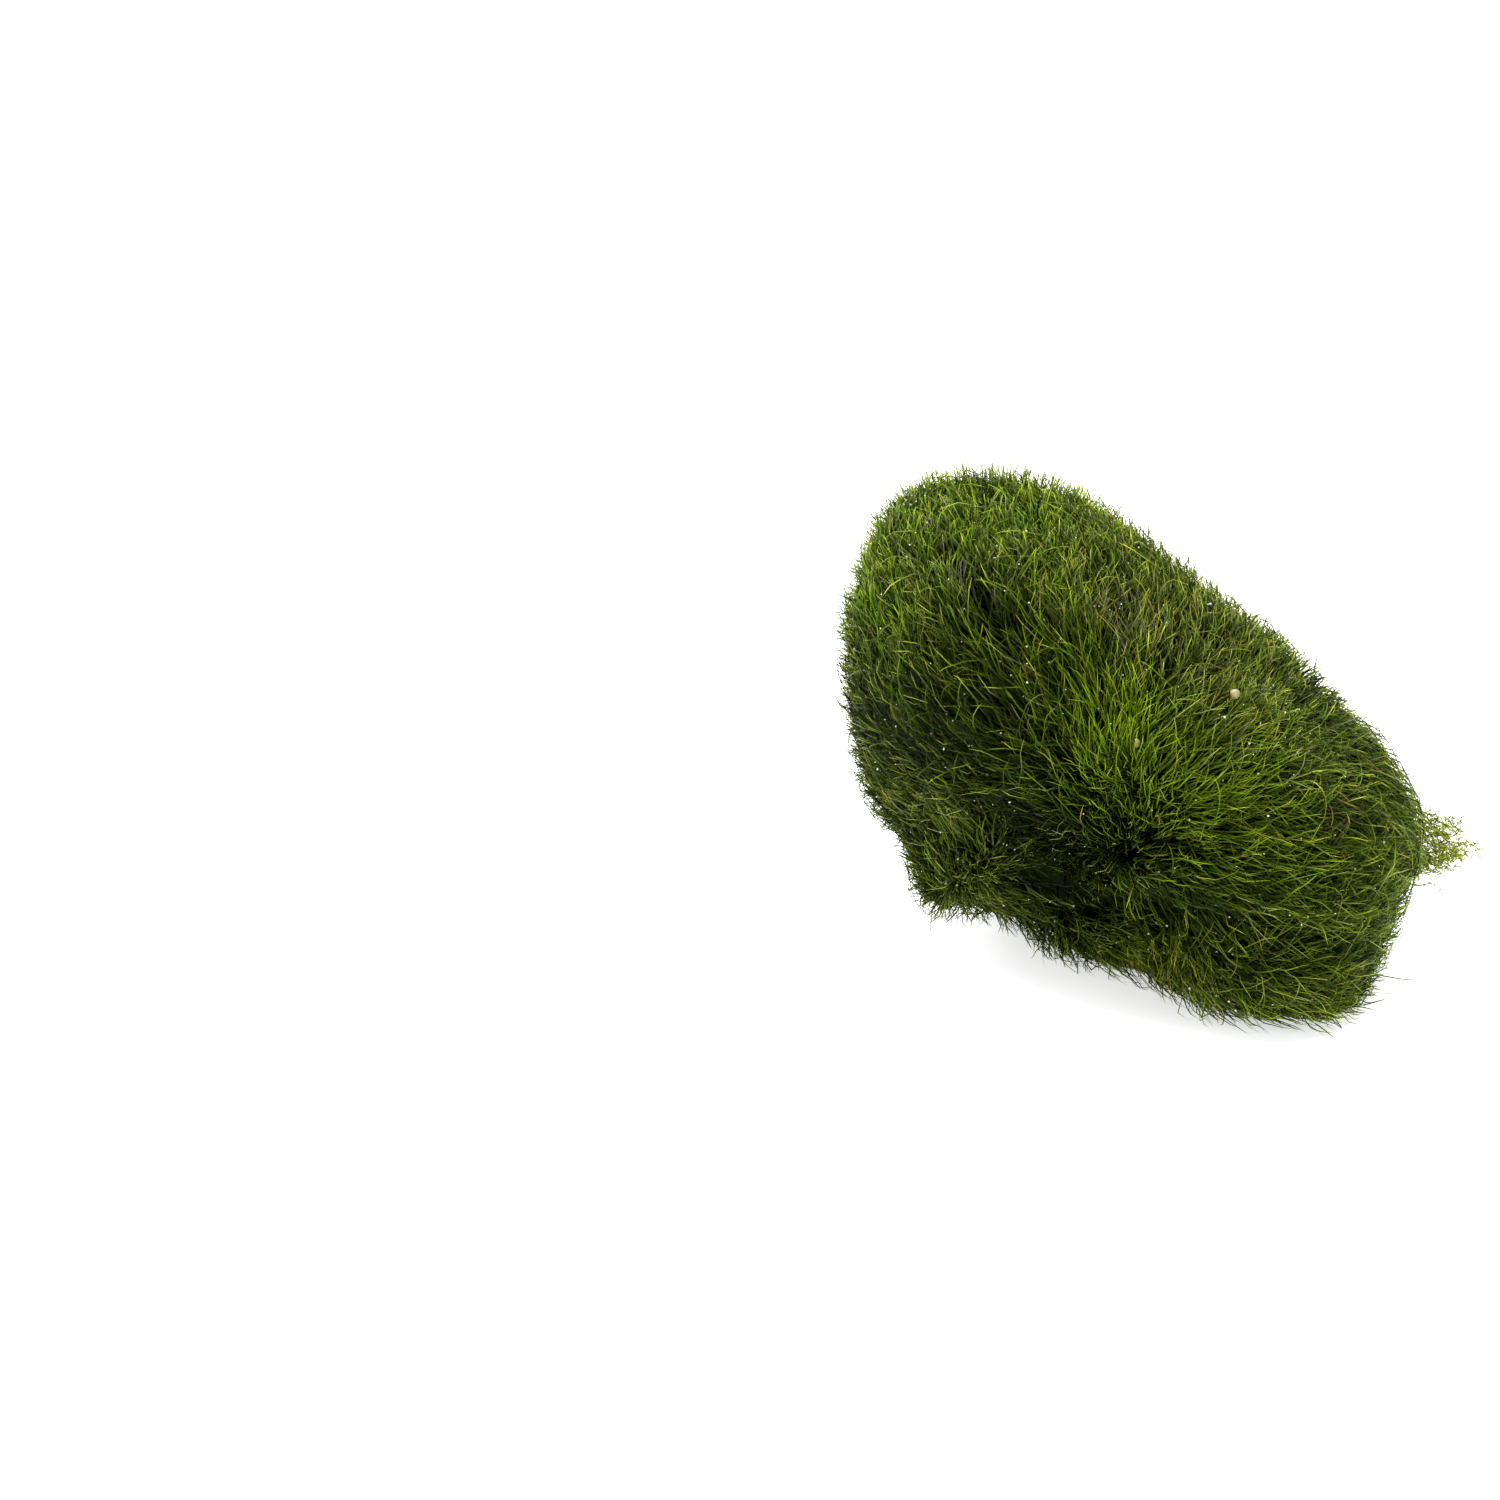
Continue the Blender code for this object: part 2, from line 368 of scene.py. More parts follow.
@dataclass(frozen=True)
class ThreadFinish:
    """The algae thread: colour by group across its map; along it, painted shade at the root rising to
    painted light at the tip.
    """

    name: str = "algae_thread"
    # Painted shade darkens the root end and painted light brightens the tip end.
    painted_root_shade_tip_glow: tuple = (
        (0.00, (0.11, 0.14, 0.08)),
        (0.40, (0.24, 0.29, 0.17)),
        (0.70, (0.70, 0.76, 0.58)),
        (0.88, (1.60, 1.50, 1.25)),
        (1.00, (3.10, 2.60, 2.40)),
    )
    # A gain over 1 gives a lighter copy of the thread colours: painted light.
    painted_light_gain: float = 1.0
    palest: float = 0.82
    roughness: float = 0.36
    shine: float = 0.07
    margin: float = 0.008

    def material(self) -> bpy.types.Material:
        """Return the material; it reads only the piece's own map."""
        kit = NodeKit(self.name)
        place = kit.node("ShaderNodeUVMap", {"uv_map": BAKE_MAP})
        parts = kit.node("ShaderNodeSeparateXYZ", None, {0: kit.signal(place)})
        across, along = kit.signal(parts, "X"), kit.signal(parts, "Y")
        groups = len(Tone)
        stops = []
        for colour in THREAD_COLOURS:
            dark = tuple(self.painted_light_gain * part for part in colour.dark)
            light = tuple(self.painted_light_gain * part for part in colour.light)
            stops.append((colour.tone.value / groups + self.margin, dark))
            stops.append(((colour.tone.value + 1) / groups - self.margin, light))
        # The group colour times the painted shade and light along the thread.
        colour = kit.tinted(kit.ramp(across, tuple(stops)), kit.ramp(along, self.painted_root_shade_tip_glow))
        colour = kit.capped(colour, self.palest)
        return kit.finish(Base_Color=colour, Roughness=self.roughness, Specular_IOR_Level=self.shine)


@dataclass(frozen=True)
class FeltFinish:
    """The matted body between the threads: dark matted algae, coloured near black as painted shade for
    the deep shadow in the pile.
    """

    name: str = "matted_felt_painted_shade"
    # Near-black colours: painted shade between the threads.
    dark: Triple = (0.002, 0.004, 0.001)
    light: Triple = (0.012, 0.020, 0.003)
    edges: Pair = (0.35, 0.68)
    grain: float = 900.0
    patch: float = 160.0
    grain_share: float = 0.6
    bump: float = 0.8
    relief: float = 0.3 * MM
    roughness: float = 0.9
    shine: float = 0.05

    def material(self) -> bpy.types.Material:
        """Return the material, patterned on Object coordinates."""
        kit = NodeKit(self.name)
        height = kit.mottle(self.grain, 3.0)
        mix = height * self.grain_share + kit.mottle(self.patch, 2.0) * (1.0 - self.grain_share)
        colour = kit.ramp(mix, ((self.edges[0], self.dark), (self.edges[1], self.light)))
        sockets = {"Strength": self.bump, "Distance": self.relief, "Height": height}
        bump = kit.signal(kit.node("ShaderNodeBump", None, sockets))
        return kit.finish(
            Base_Color=colour, Roughness=self.roughness, Specular_IOR_Level=self.shine, Normal=bump
        )


@dataclass(frozen=True)
class MottledFinish:
    """A pale surface, mottled between two colours: for the tan grains, and for the specks that are
    painted glints.
    """

    name: str
    dull: Triple
    bright: Triple
    edges: Pair
    scale: float
    detail: float
    roughness: float = 0.35

    def material(self) -> bpy.types.Material:
        """Return the material."""
        kit = NodeKit(self.name)
        low, high = self.edges
        colour = kit.ramp(kit.mottle(self.scale, self.detail), ((low, self.dull), (high, self.bright)))
        return kit.finish(Base_Color=colour, Roughness=self.roughness)


TAN_GRAIN = MottledFinish("tan_grain", (0.24, 0.20, 0.06), (0.46, 0.41, 0.17), (0.35, 0.62), 1500.0, 2.0)
# Near-white specks: painted glints on the thread tips.
PAINTED_GLINT_FINISH = MottledFinish("painted_glint", (0.42, 0.44, 0.34), (0.88, 0.90, 0.82), (0.36, 0.55), 700.0, 1.0)


@dataclass(frozen=True)
class FloorFinish:
    """The plain white floor, lit a little from beneath."""

    name: str = "white_floor"
    colour: tuple[float, float, float, float] = (0.90, 0.90, 0.91, 1.0)
    glow: float = 0.70
    roughness: float = 0.8

    def material(self) -> bpy.types.Material:
        """Return the material."""
        kit = NodeKit(self.name)
        return kit.finish(
            Base_Color=self.colour,
            Roughness=self.roughness,
            Emission_Color=self.colour,
            Emission_Strength=self.glow,
        )


def unit(vectors: Array) -> Array:
    """Return vectors, one a row, at length 1."""
    return vectors / np.maximum(np.linalg.norm(vectors, axis=-1, keepdims=True), 1.0e-12)


def smooth_step(low: float, high: float, values: Array) -> Array:
    """Return 0 below low, 1 above high, and a smooth rise between."""
    share = np.clip((values - low) / (high - low), 0.0, 1.0)
    return share * share * (3.0 - 2.0 * share)


def noise_at(points: Array, size: float, shift: float = 0.0) -> Array:
    """Return smooth noise of about -1 to 1 with features of the given size."""
    offset = Vector((shift, 1.7 * shift, 2.3 * shift))
    return np.array([noise.noise(Vector(point) / size + offset) for point in points])


def looseness(points: Array) -> Array:
    """Return 1 where the pile is loosest, along the top of the rim, fading to 0 away from it."""
    return np.exp(-spot_offset(FACE.seen(points), LOOSE_RIM))


def at_rim(normals: Array, width: float) -> Array:
    """Return 1 where the skin is seen edge on, fading to 0 over a width of the normals' slope."""
    return np.exp(-((normals @ FACE.axes()[2]) / width) ** 2)


def rim_standing(normals: Array) -> Array:
    """Return how far the threads stand up rather than lie, 1 at the top and left of the rim."""
    across, up, _ = (normals @ FACE.axes().T).T
    return at_rim(normals, STANDING_WIDTH) * smooth_step(-0.2, 0.6, 0.8 * up - 0.6 * across)


def spot_offset(face: Array, spot: Spot) -> Array:
    """Return how far face points lie from a spot's middle, squared, in its own reaches."""
    angle = math.radians(spot.turn)
    offset = face[..., :2] - (spot.across, spot.up)
    along = offset @ (math.cos(angle), math.sin(angle)) / spot.long_reach
    beside = offset @ (-math.sin(angle), math.cos(angle)) / spot.short_reach
    return along**2 + beside**2


def gap_nearness(points: Array) -> Array:
    """Return 1 in the middle of a gap and 0 clear of them all, for points of the part."""
    face = FACE.seen(points)
    in_front = smooth_step(FADED, WHOLE, face[..., 2])
    depths = [gap.depth * np.exp(-(spot_offset(face, gap) ** 2)) for gap in GAPS]
    return np.max(depths, axis=0) * in_front


def smooth(mesh: bmesh.types.BMesh, verts: list | bmesh.types.BMVertSeq, rounds: int) -> None:
    """Even out vertices of a mesh, a number of times over."""
    axes = {"use_axis_x": True, "use_axis_y": True, "use_axis_z": True}
    for _ in range(rounds):
        bmesh.ops.smooth_vert(mesh, verts=verts, factor=0.5, **axes)


@dataclass
class GrowthSurface:
    """The skin that the threads' tips reach, taken from the CAD solid without its end tuft."""

    tuft_root: Pair = (26.9, -5.5)
    tuft_slope: float = 0.26
    tuft_span: Pair = (-14.5, -2.0)
    tuft_kept: float = 0.1
    rounds: int = 8
    mesh: bmesh.types.BMesh = field(init=False)

    def __post_init__(self) -> None:
        """Copy the solid, merge its points, and level the tuft."""
        self.mesh = bmesh.new()
        self.mesh.from_mesh(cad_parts[NODE].data)
        bmesh.ops.remove_doubles(self.mesh, verts=self.mesh.verts, dist=1.0e-6)
        bmesh.ops.triangulate(self.mesh, faces=self.mesh.faces)
        tuft = [vert for vert in self.mesh.verts if self._cut_back(vert)]
        smooth(self.mesh, tuft, self.rounds)
        self.mesh.normal_update()
        self.mesh.verts.ensure_lookup_table()
        self.mesh.faces.ensure_lookup_table()
        self.points = np.array([vert.co for vert in self.mesh.verts])
        self.normals = np.array([vert.normal for vert in self.mesh.verts])
        self.corners = np.array([[vert.index for vert in face.verts] for face in self.mesh.faces])
        self.tree = BVHTree.FromBMesh(self.mesh)

    def _cut_back(self, vert: bmesh.types.BMVert) -> bool:
        """Move a vertex of the tuft back to the rim that the tuft grows from; tell if it was one."""
        place = FACE.to_face(np.array(vert.co)) / MM
        rim = self.tuft_root[0] + self.tuft_slope * (place[1] - self.tuft_root[1])
        beyond = place[0] > rim and self.tuft_span[0] < place[1] < self.tuft_span[1]
        if beyond:
            place[0] = rim + self.tuft_kept * (place[0] - rim)
            vert.co = FACE.to_part(place * MM)
        return beyond

    def _smooth_normals(self, faces: Array, weights: Array) -> Array:
        """Return normals blended from each face's corners."""
        return unit(np.einsum("ij,ijk->ik", weights, self.normals[self.corners[faces]]))

    def scatter(self, count: int, rng: Random) -> tuple[Array, Array]:
        """Spread points evenly over the skin.

        Args:
            count: How many points.
            rng: The source of chance.

        Returns:
            The points and the skin's smooth normals there.
        """
        first, second, third = (self.points[self.corners[:, k]] for k in range(3))
        areas = np.linalg.norm(np.cross(second - first, third - first), axis=1)
        edges = np.cumsum(areas) / areas.sum()
        picks = (np.arange(count) + rng.random(count)) / count
        faces = np.minimum(np.searchsorted(edges, picks), len(edges) - 1)
        root = np.sqrt(rng.random(count))
        side = rng.random(count)
        weights = np.stack([1.0 - root, root * (1.0 - side), root * side], axis=1)
        points = np.einsum("ij,ijk->ik", weights, self.points[self.corners[faces]])
        return points, self._smooth_normals(faces, weights)

    def settle(self, points: Array) -> tuple[Array, Array]:
        """Return the nearest points of the skin, and its smooth normals there."""
        hits = [self.tree.find_nearest(Vector(point)) for point in points]
        places = np.array([hit[0] for hit in hits])
        faces = np.array([hit[2] for hit in hits])
        first, second, third = (self.points[self.corners[faces, k]] for k in range(3))
        full = np.linalg.norm(np.cross(second - first, third - first), axis=1)
        part_a = np.linalg.norm(np.cross(second - places, third - places), axis=1) / full
        part_b = np.linalg.norm(np.cross(third - places, first - places), axis=1) / full
        weights = np.stack([part_a, part_b, np.maximum(1.0 - part_a - part_b, 0.0)], axis=1)
        return places, self._smooth_normals(faces, weights)


@dataclass
class Comb:
    """Which way the threads lie, all round the ball."""

    reach: float = 4.2
    back_whorl: Triple = (3.0, 4.0, -24.0)
    back_comb: float = 1.3
    front_edge: Pair = (-0.35, 0.25)
    far_weight: float = 1.0e-9

    def lie(self, points: Array, normals: Array) -> Array:
        """Return the sideways lean of the threads, as vectors whose length is the comb's strength.

        Args:
            points: Places on the skin.
            normals: The skin's normals there.

        Returns:
            One vector a place, along the skin.
        """
        face = FACE.seen(points)
        guides = np.array([[guide.across, guide.up] for guide in COMB_GUIDES])
        pulls = np.array([self._pull(guide) for guide in COMB_GUIDES])
        gaps = ((face[:, None, :2] - guides[None]) ** 2).sum(axis=2)
        weights = np.exp(-gaps / self.reach**2) + self.far_weight / (1.0 + gaps)
        flat = (weights @ pulls) / weights.sum(axis=1, keepdims=True)
        front = FACE.turn_to_part(np.column_stack([flat, np.zeros(len(flat))]))
        whorl = FACE.to_part(np.array(self.back_whorl) * MM)
        behind = unit(points - whorl) * self.back_comb
        facing = smooth_step(*self.front_edge, normals @ FACE.axes()[2])[:, None]
        lean = front * facing + behind * (1.0 - facing)
        return lean - normals * (lean * normals).sum(axis=1, keepdims=True)

    def follow(
        self,
        surface: GrowthSurface,
        start: tuple[Array, Array],
        turn: Array,
        stride: Array,
        ease: float | Array = 1.0,
    ) -> tuple[Array, Array, Array, Array]:
        """Walk over the skin in two strides, the way that the threads lie.

        Args:
            surface: The skin.
            start: The places to start from, and the normals there.
            turn: How far each thread turns off the lie, in degrees.
            stride: The length of a stride for each.
            ease: What the lean is multiplied by.

        Returns:
            The first and second lean, the places reached, and the normals there.
        """
        points, normals = start
        lean = turned(self.lie(points, normals), normals, turn) * ease
        halfway, risen = surface.settle(points + lean * stride)
        onward = turned(self.lie(halfway, risen), risen, turn) * ease
        places, outward = surface.settle(halfway + onward * stride)
        return lean, onward, places, outward

    @staticmethod
    def _pull(guide: CombGuide) -> Pair:
        """Return a guide's lean as (across, up)."""
        angle = math.radians(guide.heading)
        return guide.comb * math.cos(angle), guide.comb * math.sin(angle)


def turned(vectors: Array, axes: Array, degrees: Array) -> Array:
    """Return vectors turned about unit axes, one angle in degrees a row."""
    angle = np.radians(degrees)[:, None]
    return vectors * np.cos(angle) + np.cross(axes, vectors) * np.sin(angle)


def tone_place(tone: Array, light: Array) -> Array:
    """Return the place on the palette of a group and a lightness of 0 to 1."""
    return (tone + TONE_START + TONE_SPAN * np.clip(light, 0.0, 1.0)) / len(Tone)


@dataclass(frozen=True)
class Palette:
    """Which colour each thread takes, by where it grows.

    The shares are those of the colour groups, in their order; heed is how far the tint spots count,
    painted shade and painted light among them.
    """

    shares: tuple[float, ...]
    heed: float = 1.0

    def pick(self, points: Array, light: Array, rng: Random) -> Array:
        """Choose each thread's place on the palette.

        Args:
            points: Where the threads grow.
            light: How light each is within its group, from 0 to 1.
            rng: The source of chance.

        Returns:
            One place a thread, from 0 to 1.
        """
        face = FACE.seen(points)
        edges = np.cumsum(self.shares) / sum(self.shares)
        tone = np.searchsorted(edges, rng.random(len(points))).astype(float)
        light = light.copy()
        for spot in TINT_AND_PAINTED_LIGHT_SPOTS:
            near = self._nearness(spot, face)
            taken = rng.random(len(points)) < near * spot.share * self.heed
            tone[taken] = spot.tone.value
            # A spot's lift: painted shade or painted light in the spots marked so.
            light += near * spot.lift * self.heed
        return tone_place(tone, light)

    @staticmethod
    def _nearness(spot: TintAndPaintedLightSpot, face: Array) -> Array:
        """Return 1 at the middle of a spot, fading to 0 round it and behind the ball."""
        return np.exp(-spot_offset(face, spot)) * smooth_step(FADED, WHOLE, face[:, 2])


THREAD_PALETTE = Palette((0.01, 0.26, 0.52, 0.09, 0.11, 0.01, 0.0, 0.0))
GROUND_PALETTE = Palette((0.01, 0.62, 0.35, 0.0, 0.01, 0.01, 0.0, 0.0))
WISP_PALETTE = Palette((0.0, 0.06, 0.44, 0.16, 0.20, 0.02, 0.03, 0.09), 0.80)
FRINGE_PALETTE = Palette((0.0, 0.0, 0.10, 0.22, 0.26, 0.02, 0.23, 0.17), 0.60)


@dataclass
class Clumps:
    """The small pointed locks that the threads gather into."""

    surface: GrowthSurface
    comb: Comb
    count: int = 3200
    seed: int = 11
    swirl_size: float = 8.0 * MM
    lock_size: float = 2.6 * MM
    patch_size: float = 5.0 * MM
    swirl: float = 20.0
    stray: float = 11.0
    strength_spread: float = 0.2
    strength_range: Pair = (0.5, 1.6)
    light: Triple = (0.47, 0.40, 0.20)
    most_pull: float = 0.50
    rise: Pair = (0.45, 0.30)
    rise_range: Pair = (-0.9, 0.7)

    def __post_init__(self) -> None:
        """Spread the clumps and give each its own lean, lightness and pull."""
        rng = np.random.default_rng(self.seed)
        self.points, self.normals = self.surface.scatter(self.count, rng)
        swirl = noise_at(self.points, self.swirl_size)
        self.turn = self.swirl * swirl + rng.normal(0.0, self.stray, self.count)
        strength = rng.normal(1.0, self.strength_spread, self.count)
        self.strength = np.clip(strength, *self.strength_range)
        level, patchiness, spread = self.light
        patch = noise_at(self.points, self.patch_size, 3.1)
        self.lightness = level + patchiness * patch + rng.normal(0.0, spread, self.count)
        self.pull = rng.uniform(0.0, self.most_pull, self.count)
        share, spread = self.rise
        locks = noise_at(self.points, self.lock_size, 5.2)
        rise = share * locks + rng.normal(0.0, spread, self.count)
        self.height = np.clip(rise, *self.rise_range) * MM
        self.finder = kdtree.KDTree(self.count)
        for index, point in enumerate(self.points):
            self.finder.insert(Vector(point), index)
        self.finder.balance()

    def nearest(self, points: Array) -> Array:
        """Return the number of the clump that each point belongs to."""
        return np.array([self.finder.find(Vector(point))[1] for point in points])

    def tips(self, reach: float, sink: float) -> Array:
        """Return the clumps' tips, for threads that lean by reach and end sink below the skin."""
        stride = 0.5 * reach * self.strength[:, None]
        start = (self.points, self.normals)
        _, _, places, normals = self.comb.follow(self.surface, start, self.turn, stride)
        return places + normals * (self.height - sink)[:, None]


def points_and_corners(mesh: bmesh.types.BMesh) -> tuple[Array, Array]:
    """Return a mesh's points and the corners of its triangles, and free it."""
    mesh.verts.index_update()
    points = np.array([vert.co for vert in mesh.verts])
    corners = np.array([[vert.index for vert in face.verts] for face in mesh.faces])
    mesh.free()
    return points, corners


def joined(name: str, points: Array, corners: Array) -> tuple[bpy.types.Mesh, Array]:
    """Join copies of one shape in a mesh that stays off the floor.

    Args:
        name: The mesh's name.
        points: Copies by points by 3.
        corners: The triangles of one copy.

    Returns:
        The mesh, and the corners of all its triangles.
    """
    points[..., 2] = np.maximum(points[..., 2], LOWEST)
    faces = corners[None] + (np.arange(len(points)) * points.shape[1])[:, None, None]
    data = bpy.data.meshes.new(name)
    data.from_pydata(points.reshape(-1, 3), [], faces.reshape(-1, 3))
    return data, faces


def thread_shape(heights: Rings) -> tuple[Array, Array]:
    """Model one straight thread of length 1 and radius 1, closed at both ends.

    Args:
        heights: Where its rings lie, from 0 to 1.

    Returns:
        Its points and its triangles.
    """
    mesh = bmesh.new()
    bmesh.ops.create_cone(mesh, cap_ends=True, segments=3, radius1=1.0, radius2=0.0, depth=1.0)
    bmesh.ops.translate(mesh, vec=(0.0, 0.0, 0.5), verts=mesh.verts)
    bmesh.ops.remove_doubles(mesh, verts=mesh.verts, dist=1.0e-5)
    for height in heights[1:-1]:
        everything = mesh.verts[:] + mesh.edges[:] + mesh.faces[:]
        bmesh.ops.bisect_plane(mesh, geom=everything, plane_co=(0, 0, height), plane_no=(0, 0, 1))
    bmesh.ops.triangulate(mesh, faces=mesh.faces)
    bmesh.ops.recalc_face_normals(mesh, faces=mesh.faces)
    return points_and_corners(mesh)


@dataclass
class ThreadMesh:
    """Joins many bent threads in one mesh."""

    heights: Rings
    strip: float = 0.005
    map_ends: Pair = (0.02, 0.97)
    map_width: float = 0.01
    taper: float = 0.78
    taper_power: float = 2.5

    def build(self, name: str, spines: Array, radii: Array, tones: Array) -> bpy.types.Object:
        """Sweep the thread shape along every spine.

        Args:
            name: The piece's name.
            spines: Threads by rings by 3, in metres.
            radii: One radius a thread.
            tones: Each thread's place on the palette.

        Returns:
            The new object, with its palette map.
        """
        shape, corners = thread_shape(self.heights)
        ring = np.abs(shape[:, 2:3] - np.array(self.heights)[None]).argmin(axis=1)
        share = np.array(self.heights)[ring]
        wide = np.linalg.norm(shape[:, :2], axis=1) > 1.0e-6
        ways = np.zeros((len(shape), 2))
        ways[wide] = unit(shape[wide, :2])
        along = unit(np.gradient(spines, axis=1))
        chance = np.random.default_rng(len(spines)).normal(size=(len(spines), 1, 3))
        side = unit(np.cross(along, np.broadcast_to(chance, along.shape)))
        rise = np.cross(along, side)
        girth = radii[:, None] * (1.0 - self.taper * share**self.taper_power)[None]
        points = spines[:, ring] + girth[..., None] * (
            ways[None, :, :1] * side[:, ring] + ways[None, :, 1:] * rise[:, ring]
        )
        data, faces = joined(name, points, corners)
        across = tones[:, None] + 0.5 * self.strip * ways[None, :, 0]
        low, high = self.map_ends
        up = low + (high - low) * share[None] + self.map_width * ways[None, :, 1]
        flat = np.stack([across, np.broadcast_to(up, across.shape)], axis=2).reshape(-1, 2)
        layer = data.uv_layers.new(name=BAKE_MAP)
        layer.uv.foreach_set("vector", flat[faces.reshape(-1)].astype(np.float32).ravel())
        data.shade_smooth()
        return linked(name, data)


def mesh_data(name: str, mesh: bmesh.types.BMesh) -> bpy.types.Mesh:
    """Return a mesh under construction as mesh data, and free it."""
    data = bpy.data.meshes.new(name)
    mesh.to_mesh(data)
    mesh.free()
    return data


def linked(name: str, data: bpy.types.Mesh) -> bpy.types.Object:
    """Return a new object of a mesh, linked to the scene."""
    piece = bpy.data.objects.new(name, data)
    bpy.context.scene.collection.objects.link(piece)
    return piece


def place_piece(piece: bpy.types.Object, material: bpy.types.Material) -> None:
    """Dress a piece, put it on the ball's body, and let it stand for the CAD solid."""
    piece.data.materials.append(material)
    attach(piece, BODY)
    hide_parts(NODE)
    LOG.info("%s: %d faces", piece.name, len(piece.data.polygons))


@dataclass
class FeltBody:
    """The matted body under the threads, a shrunken copy of the skin."""

    surface: GrowthSurface
    depth: float = 3.6 * MM
    smoothing: int = 4

    def build(self) -> None:
        """Make the body, one closed mesh."""
        mesh = self.surface.mesh.copy()
        for vert in mesh.verts:
            vert.co -= vert.normal * self.depth
        smooth(mesh, mesh.verts, self.smoothing)
        data = mesh_data("matted_body", mesh)
        data.shade_smooth()
        place_piece(linked("matted_body", data), FeltFinish().material())


@dataclass
class Growth:
    """What a layer keeps of its threads, for the branches that rise from them."""

    spines: Array
    outward: Array
    tones: Array


@dataclass
class Pile:
    """One layer of threads over the whole ball."""

    surface: GrowthSurface
    comb: Comb
    clumps: Clumps
    name: str
    count: int
    seed: int
    heights: Rings = (0.0, 0.38, 0.64, 0.85, 1.0)
    depth: float = 4.1 * MM
    reach: float = 6.0 * MM
    radius: float = 0.073 * MM
    sink: float = 1.60 * MM
    spread: float = 0.40 * MM
    tail: float = 0.30 * MM
    unevenness: float = 0.25
    length_range: Pair = (0.35, 1.8)
    thickness_spread: float = 0.18
    thickness_range: Pair = (0.55, 1.5)
    lift: float = 0.75
    root_lean: float = 0.10
    tip_rise: Pair = (0.12, 0.30)
    tip_run: float = 0.30
    stray: float = 17.0
    tip_turn: float = 30.0
    curl: float = 0.13 * MM
    light: float = 0.0
    light_spread: float = 0.30
    # Painted light: how much lighter threads seen edge on at the rim are made, standing for backlight.
    painted_rim_glow: float = 0.22
    painted_rim_glow_width: float = 0.30
    gathering: float = 1.0
    thinning: float = 1.0
    loosened: float = 1.1 * MM
    flyaways: float = 0.04
    flown: Pair = (0.2, 1.2)
    highest: float = 0.15 * MM
    upright: float = 0.15
    elsewhere: float = 1.0
    palette: Palette = THREAD_PALETTE

    def build(self, material: bpy.types.Material) -> Growth:
        """Grow the layer and return what its branches need."""
        rng = np.random.default_rng(self.seed)
        points, normals = self._rooted(rng)
        clump = self.clumps.nearest(points)
        spines, outward = self._spines(points, normals, clump, rng)
        thinned = gap_nearness(spines).max(axis=1) * self.thinning
        open_ones = thinned < rng.random(len(points))
        chance = rng.normal(0.0, self.light_spread, len(points))
        light = self.clumps.lightness[clump] + chance + self.light
        # Painted light: threads seen edge on at the rim are lightened, standing for backlight.
        light = light + self.painted_rim_glow * at_rim(normals, self.painted_rim_glow_width)
        tones = self.palette.pick(points, light, rng)
        thickness = rng.normal(1.0, self.thickness_spread, len(points))
        radii = self.radius * np.clip(thickness, *self.thickness_range)
        growth = Growth(spines[open_ones], outward[open_ones], tones[open_ones])
        mesh = ThreadMesh(self.heights)
        place_piece(mesh.build(self.name, growth.spines, radii[open_ones], growth.tones), material)
        return growth

    def _rooted(self, rng: Random) -> tuple[Array, Array]:
        """Scatter the threads' places, few on the underside and only a share off the standing rim."""
        points, normals = self.surface.scatter(self.count, rng)
        kept = (normals[:, 2] > UNDERSIDE) | (rng.random(self.count) < UNDERSIDE_SHARE)
        if self.elsewhere < 1.0:
            rim = rim_standing(normals)
            kept &= rng.random(self.count) < self.elsewhere + (1.0 - self.elsewhere) * rim
        return points[kept], normals[kept]

    def _spines(
        self, points: Array, normals: Array, clump: Array, rng: Random
    ) -> tuple[Array, Array]:
        """Bend the middle line of every thread.

        Args:
            points: Where each thread's place on the skin is.
            normals: The skin's normals there.
            clump: The clump of each thread.
            rng: The source of chance.

        Returns:
            The lines, as threads by rings by 3, and the skin's normals at their tips.
        """
        count = len(points)
        turn = self.clumps.turn[clump] + rng.normal(0.0, self.stray, count)
        uneven = np.clip(rng.normal(1.0, self.unevenness, count), *self.length_range)
        length = self.reach * self.clumps.strength[clump] * uneven
        standing = self.upright * rim_standing(normals)[:, None]
        stride = 0.5 * length[:, None]
        lean, onward, places, outward = self.comb.follow(
            self.surface, (points, normals), turn, stride, 1.0 - standing
        )
        stand = rng.normal(-self.sink, self.spread, count) + rng.exponential(self.tail, count)
        wild = rng.random(count) < self.flyaways
        stand[wild] += rng.uniform(*self.flown, int(wild.sum())) * MM
        stand = np.minimum(stand + self.clumps.height[clump], self.highest)
        stand -= self.loosened * looseness(points)
        tips = places + outward * stand[:, None]
        pull = self.clumps.pull[clump] * (~wild) * self.gathering
        tips += (self.clumps.tips(self.reach, self.sink)[clump] - tips) * pull[:, None]
        roots = points - normals * self.depth
        rising = roots + normals * (self.depth * self.lift) + lean * (self.root_lean * self.reach)
        length = np.linalg.norm(tips - roots, axis=1, keepdims=True)
        heading = turned(unit(onward), outward, rng.normal(0.0, self.tip_turn, count))
        rise = rng.normal(*self.tip_rise, count)[:, None] + standing
        heading = unit(heading * (1.0 - standing) + outward * rise)
        coming = tips - heading * length * self.tip_run
        share = np.array(self.heights)[None, :, None]
        rest = 1.0 - share
        spines = rest**3 * roots[:, None] + 3 * rest**2 * share * rising[:, None]
        spines = spines + 3 * rest * share**2 * coming[:, None] + share**3 * tips[:, None]
        wave = rng.normal(0.0, self.curl, (count, len(self.heights), 3))
        return spines + wave * (share * (1.0 - 0.3 * share)), outward


def bent_lines(start: Array, bend: Array, end: Array, rings: Rings) -> Array:
    """Return smooth lines from start past bend to end, as lines by rings by 3."""
    share = np.array(rings)[None, :, None]
    lines = (1 - share) ** 2 * start[:, None] + 2 * share * (1 - share) * bend[:, None]
    return lines + share**2 * end[:, None]


